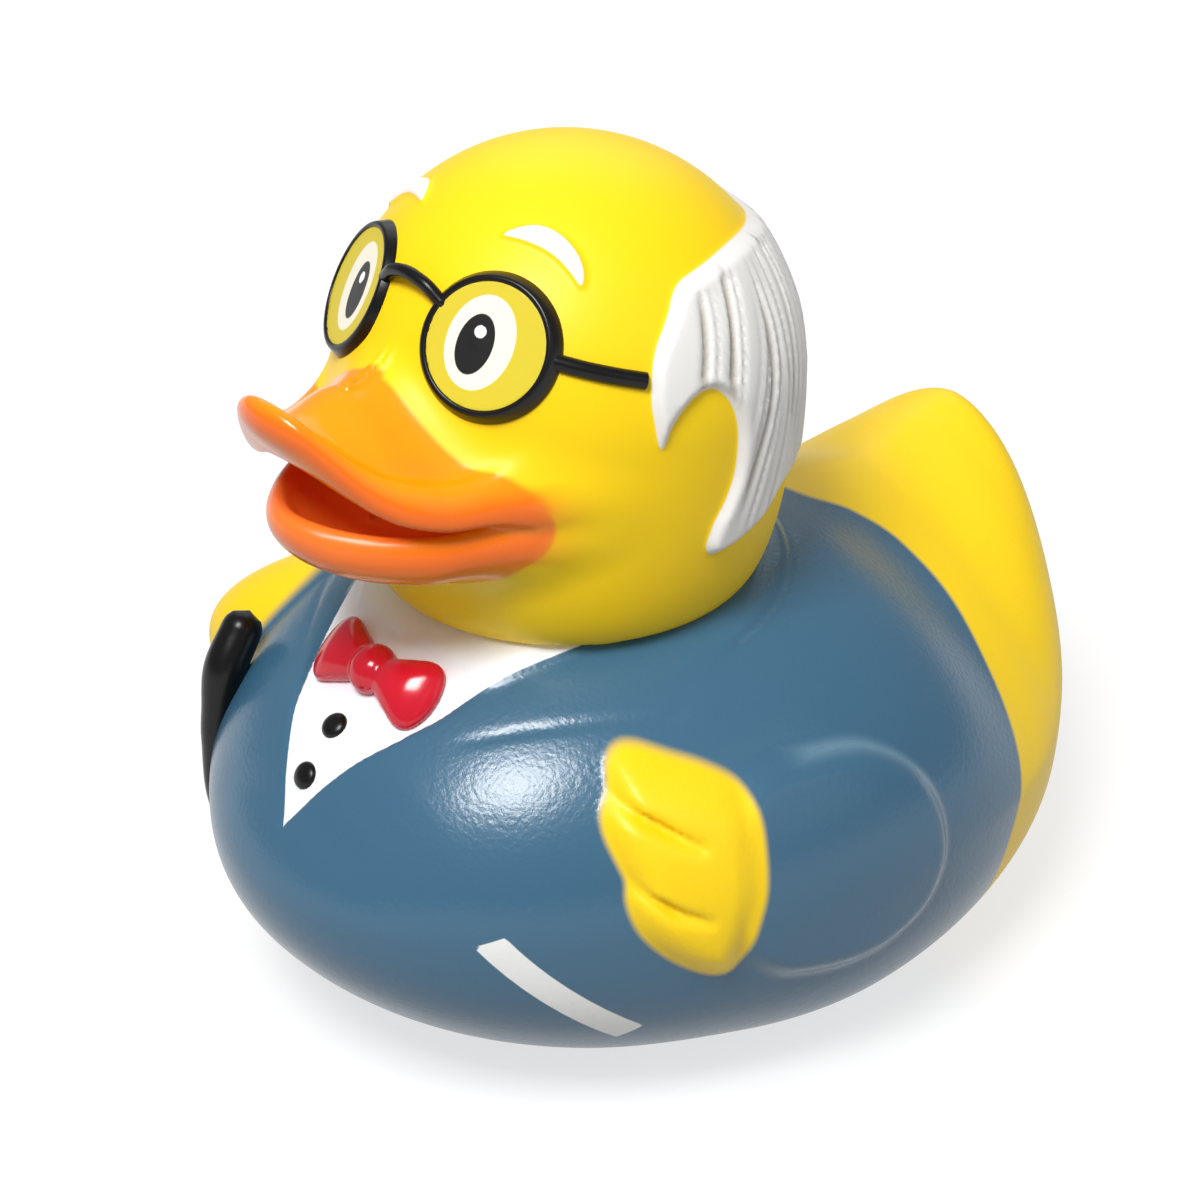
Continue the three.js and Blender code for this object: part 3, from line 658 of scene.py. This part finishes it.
def bodyZones(x, y, z):
    t = np.linspace(0, 1, 9)[:, None]
    first, bend, last = np.array(bodyLook["stripe"])
    run = (1 - t) ** 2 * first + 2 * t * (1 - t) * bend + t ** 2 * last
    stripe = np.min([barDistance(0 * y, y, z, (0, *a), (0, *b), 0, 0) for a, b in zip(run[:-1], run[1:])], 0)
    (ay, az), (by, bz) = (first - bend) / np.linalg.norm(first - bend), (last - bend) / np.linalg.norm(last - bend)
    ends = np.maximum((y - first[0]) * ay + (z - first[1]) * az, (y - last[0]) * by + (z - last[1]) * bz)
    # paint rubbed thin on the sleeve's edge and on the line of the collar, together with a painted highlight along both
    # raised edges
    sleeveEdge = np.abs(outlineDistance(y, z, sleeveOutline) + bodyLook["paleLineInset"]) - bodyLook["paleLineHalf"]
    sleeveEdge = np.maximum(sleeveEdge, (bodyLook["paleLineFromY"] - y) * 0.2)
    collarEdge = np.abs(np.hypot(x, y - head["y"]) - bodyLook["collarLine"]) + 0.25
    collarEdge = np.maximum(collarEdge, np.maximum(jacket["shoulderZ"] - z, bodyLook["collarFromY"] - y))
    return {
        "jacket": (y - hemLine(z)) * 0.85,
        "wearAndHighlight": np.minimum(sleeveEdge, collarEdge),
        "hand": np.where(x < 0, (gripReach(x, y, z) - 0.92) * 8, handMask(x, y, z) - 0.3),
        "stripe": np.where(x > 0, np.maximum(stripe - bodyLook["stripeHalf"], ends), 9),
        "shirt": np.maximum(shirtMask(x, y, z) + 0.2, y - jacket["frontY"]),
    }


boxLow, boxHigh = np.array(cadBox[0]) / metresPerMm, np.array(cadBox[1]) / metresPerMm
points, faces = skin(bodyPiece, boxLow - 4, (boxHigh[0] + 4, boxHigh[1] + 4, 52), bodyLook["cell"])
bodyObject = addPiece("sprayedBody", points, faces, bodyZones(*points.T))
bodyObject.data.materials.append(sprayedVinyl("sprayedVinylBody", bodyLook, bodyLook["coats"]))

# head, with the bill, hair, brows and eyes painted on it
headLook = {
    "cell": 0.36, "colour": "#FFD600", "roughness": 0.45, "sheen": 0.38, "peelMm": 0.8, "peelDepthMm": 0.006,
    "coats": [("bill", "#FF9A06", 0.5, 0.2), ("lip", "#FA7210", 2.4, 0.2), ("mouth", "#FF7C2A", 1.2, 0.3),
              # the grey coat on the hair is painted shade in the grooves between the combed strands
              ("hair", "#EBE9E6", 0.15, 0.5), ("strandGrooveShade", "#BDB6AC", 0.5, 0.5), ("brow", "#FAFAF6", 0.15, 0.45),
              # the darker olive lens coat is painted shade on the flat lenses
              ("lens", "#D8C42A", 0.1, 0.45), ("eyeWhite", "#F4F0DC", 0.08, 0.4), ("pupil", "#080809", 0.08, 0.4),
              ("glint", "#FFFFFF", 0.08, 0.4)],
    "white": (3.1, 4.1), "whiteAt": (-0.55, 0.2), "pupil": (1.66, 2.66), "pupilAt": (-1.0, 0.0), "tilt": 12,
    "glint": 0.55, "glintAt": (-0.68, 1.1),
}


def ellipseMask(u, v, at, halves, tilt):
    c, s = math.cos(math.radians(tilt)), math.sin(math.radians(tilt))
    du, dv = u - at[0], v - at[1]
    a, b = (du * c - dv * s) / halves[0], (du * s + dv * c) / halves[1]
    return (np.hypot(a, b) - 1) * halves[0]


def headZones(x, y, z):
    upper, lower = billForm(x, y, z)
    across, up, out = lensPlace(x, y, z)
    onLens = np.maximum(np.abs(out) - 1.2, 0) * 9
    forward = head["y"] - y
    share = np.clip((forward - bill["root"]) / (bill["upperReach"] - bill["root"]), 0, 1)
    lipHeight = np.minimum(np.abs(z - billLines["upperEdge"](share)), np.abs(z - billLines["lowerEdge"](share)))
    yaw, pitch = headPlace(x, y, z)
    root = outlineDistance(yaw * bill["mmPerDegree"], pitch * bill["mmPerDegree"], billOutline)
    billZone = np.minimum(root, 1.5 - headForm(x, y, z))
    return {
        "bill": billZone,
        "lip": np.maximum(lipHeight - 1.6, billZone),
        "mouth": mouthMask(x, y, z),
        "hair": hairMask(x, y, z),
        # painted shade: grey where the grooves between the strands run deep
        "strandGrooveShade": np.maximum(0.35 - strandDepth(x, y, z), hairMask(x, y, z) + 0.4),
        "brow": browMask(x, y, z),
        # painted shade: the lenses inside the rims are a darker olive yellow than the head
        "lens": np.hypot(across, up) - spectacles["lensRadius"] + onLens,
        "eyeWhite": ellipseMask(across, up, headLook["whiteAt"], headLook["white"], headLook["tilt"]) + onLens,
        "pupil": ellipseMask(across, up, headLook["pupilAt"], headLook["pupil"], headLook["tilt"]) + onLens,
        "glint": np.hypot(across - headLook["glintAt"][0], up - headLook["glintAt"][1]) - headLook["glint"] + onLens,
    }


points, faces = skin(headPiece, (-25, -50, 34), (25, 15, 86), headLook["cell"])
headObject = addPiece("sprayedHead", points, faces, headZones(*points.T))
headObject.data.materials.append(sprayedVinyl("sprayedVinylHead", headLook, headLook["coats"]))

# spectacles, stick and buttons in black lacquer, brushed on smooth: deep black with small clear highlights
blackLook = {"colour": "#0B0B0C", "roughness": 0.28, "sheen": 0.3, "peelMm": 0.5, "peelDepthMm": 0.01}
turns = np.radians(np.arange(0, 360, 3.75))
rimPoints = []
for a in turns:
    spoke = math.cos(a) * lensAcross + math.sin(a) * lensUp
    rimPoints += [lensCentre + (spectacles["lensRadius"] + r) * spoke + o * lensOut for r, o in spectacles["rim"]]
rimPoints = np.array(rimPoints)
rimFaces = []
sides = len(spectacles["rim"])
for r in range(len(turns)):
    here, after = r * sides, (r + 1) % len(turns) * sides
    rimFaces += [(here + k, here + (k + 1) % sides, after + (k + 1) % sides, after + k) for k in range(sides)]
bridgeEnd = rimPoint(spectacles["bridgeAngle"], spectacles["bridgeSink"])
bridgeStops = [bridgeEnd, (bridgeEnd[0] * 0.55, bridgeEnd[1] - 0.4, bridgeEnd[2] + 1.25),
               (0, bridgeEnd[1] - 0.55, bridgeEnd[2] + 1.7)]
bridgeStops += [(-x, y, z) for x, y, z in bridgeStops[1::-1]]
wire = spectacles["wire"]
templeStops = [onHead(yaw, pitch, spectacles["templeOut"]) for yaw, pitch in spectacles["temple"]]
temple = sweep(tubeRings(templeStops, [wire] * len(templeStops), spectacles["sides"], endRound=0.2))
bridgeWire = [spectacles["bridgeShare"] * wire] * len(bridgeStops)
parts = bothSides((rimPoints, rimFaces)) + bothSides(temple)
parts += [sweep(tubeRings(bridgeStops, bridgeWire, spectacles["sides"]))]
blackLacquer = sprayedVinyl("blackLacquer", blackLook)
spectaclePiece = addPiece("spectacles", *joined(parts))
spectaclePiece.data.materials.append(blackLacquer)

stickPiece = addPiece("walkingStick", *sweep(tubeRings(stick["stops"], stick["radii"], stick["sides"])))
stickPiece.data.materials.append(blackLacquer)

parts = []
for y in buttons["places"]:
    place, down, out = chestFrame(y)
    place[0] = buttons["x"]
    rings = []
    for lift in np.radians((-60, -30, 0, 20, 40, 60, 75, 87)):
        turn = 2 * math.pi * np.arange(24)[:, None] / 24
        flatRing = np.cos(turn) * np.array([1, 0, 0]) + np.sin(turn) * down
        rings.append(place + buttons["radius"] * math.cos(lift) * flatRing + buttons["height"] * math.sin(lift) * out)
    parts.append(sweep(rings))
buttonPiece = addPiece("shirtButtons", *joined(parts))
buttonPiece.data.materials.append(blackLacquer)

# bow tie in red gloss lacquer, flowed on thick: wet looking, with one sharp highlight on each lobe
redLook = {"colour": "#CC1029", "roughness": 0.16, "sheen": 0.5, "peelMm": 0.6, "peelDepthMm": 0.006}
points, faces = skin(tieForm, tiePlace - 10, tiePlace + 10, tie["cell"])
tiePiece = addPiece("bowTie", points, faces)
tiePiece.data.materials.append(sprayedVinyl("redGlossLacquer", redLook))

# stage: pale floor, soft lamps and a camera where the photo was taken
stage = {"floorHalf": 6.0, "floor": "#9A9A9A", "glowNear": 0.7, "glowFar": 0.9, "glowReach": (0.08, 0.4),
         "target": (0, -6.5, 36), "azimuth": 48.0, "elevation": 28.7, "distance": 270.0, "fieldOfView": 24.0,
         "skyLevel": 0.36}
floorMesh = bpy.data.meshes.new("floor")
half = stage["floorHalf"]
floorMesh.from_pydata([(-half, -half, 0), (half, -half, 0), (half, half, 0), (-half, half, 0)], [], [(0, 1, 2, 3)])
floor = bpy.data.objects.new("floor", floorMesh)
bpy.context.scene.collection.objects.link(floor)
paleCard = bpy.data.materials.new("paleCard")
paleCard.use_nodes = True
floorShader = paleCard.node_tree.nodes["Principled BSDF"]
floorShader.inputs["Base Color"].default_value = toLinear(stage["floor"])
floorShader.inputs["Roughness"].default_value = 0.9
floorShader.inputs["Specular IOR Level"].default_value = 0.0
floorShader.inputs["Emission Color"].default_value = (1, 1, 1, 1)
# white to the eye and in reflections, plain grey card for the light it throws back
floorTree = paleCard.node_tree
path = addNode(floorTree, "ShaderNodeLightPath").outputs
seen = path["Is Camera Ray"]
for ray in ("Is Glossy Ray", "Is Transmission Ray"):
    seen = addNode(floorTree, "ShaderNodeMath", {"operation": "MAXIMUM"}, {0: seen, 1: path[ray]}).outputs[0]
spot = addNode(floorTree, "ShaderNodeTexCoord").outputs["Object"]
gap = addNode(floorTree, "ShaderNodeVectorMath", {"operation": "LENGTH"}, {0: spot}).outputs["Value"]
glow = addNode(floorTree, "ShaderNodeMapRange", None, {0: gap, 1: stage["glowReach"][0], 2: stage["glowReach"][1],
                                                       3: stage["glowNear"], 4: stage["glowFar"]})
glow = addNode(floorTree, "ShaderNodeMath", {"operation": "MULTIPLY"},
               {0: glow.outputs["Result"], 1: seen}).outputs[0]
floorTree.links.new(glow, floorShader.inputs["Emission Strength"])
floorMesh.materials.append(paleCard)

camera = bpy.data.cameras.new("photoCamera")
camera.sensor_width = 36
camera.angle = math.radians(stage["fieldOfView"])
camera.clip_start = 0.01
cameraObject = bpy.data.objects.new("photoCamera", camera)
azimuth, elevation = math.radians(stage["azimuth"]), math.radians(stage["elevation"])
aim = np.array(stage["target"]) * metresPerMm
away = np.array([math.sin(azimuth) * math.cos(elevation), -math.cos(azimuth) * math.cos(elevation),
                 math.sin(elevation)])
cameraObject.location = aim + away * stage["distance"] * metresPerMm
cameraObject.rotation_euler = (math.pi / 2 - elevation, 0, azimuth)
bpy.context.scene.collection.objects.link(cameraObject)
bpy.context.scene.camera = cameraObject

lamps = [
    # name, direction, distance in m, size in m, watts
    ("key", (0.225, -0.5, 0.82), 0.6, 0.2, 3.4),
    ("fill", (0.9, 0.2, 0.5), 0.8, 0.6, 0.5),
    ("back", (-0.6, 0.6, 0.7), 0.8, 0.6, 0.9),
]
for name, direction, distance, size, watts in lamps:
    lamp = bpy.data.lights.new(name, "AREA")
    lamp.size = size
    lamp.energy = watts
    lampObject = bpy.data.objects.new(name, lamp)
    way = np.array(direction) / np.linalg.norm(direction)
    lampObject.location = aim + way * distance
    lampObject.rotation_euler = (math.acos(way[2]), 0, math.atan2(way[0], -way[1]))
    bpy.context.scene.collection.objects.link(lampObject)

world = bpy.data.worlds.new("studio")
bpy.context.scene.world = world
world.use_nodes = True
sky = world.node_tree.nodes["Background"]
sky.inputs["Color"].default_value = (1, 1, 1, 1)
sky.inputs["Strength"].default_value = stage["skyLevel"]
bpy.context.scene.view_settings.view_transform = "Standard"
print("stage: floor, lamps and camera set")
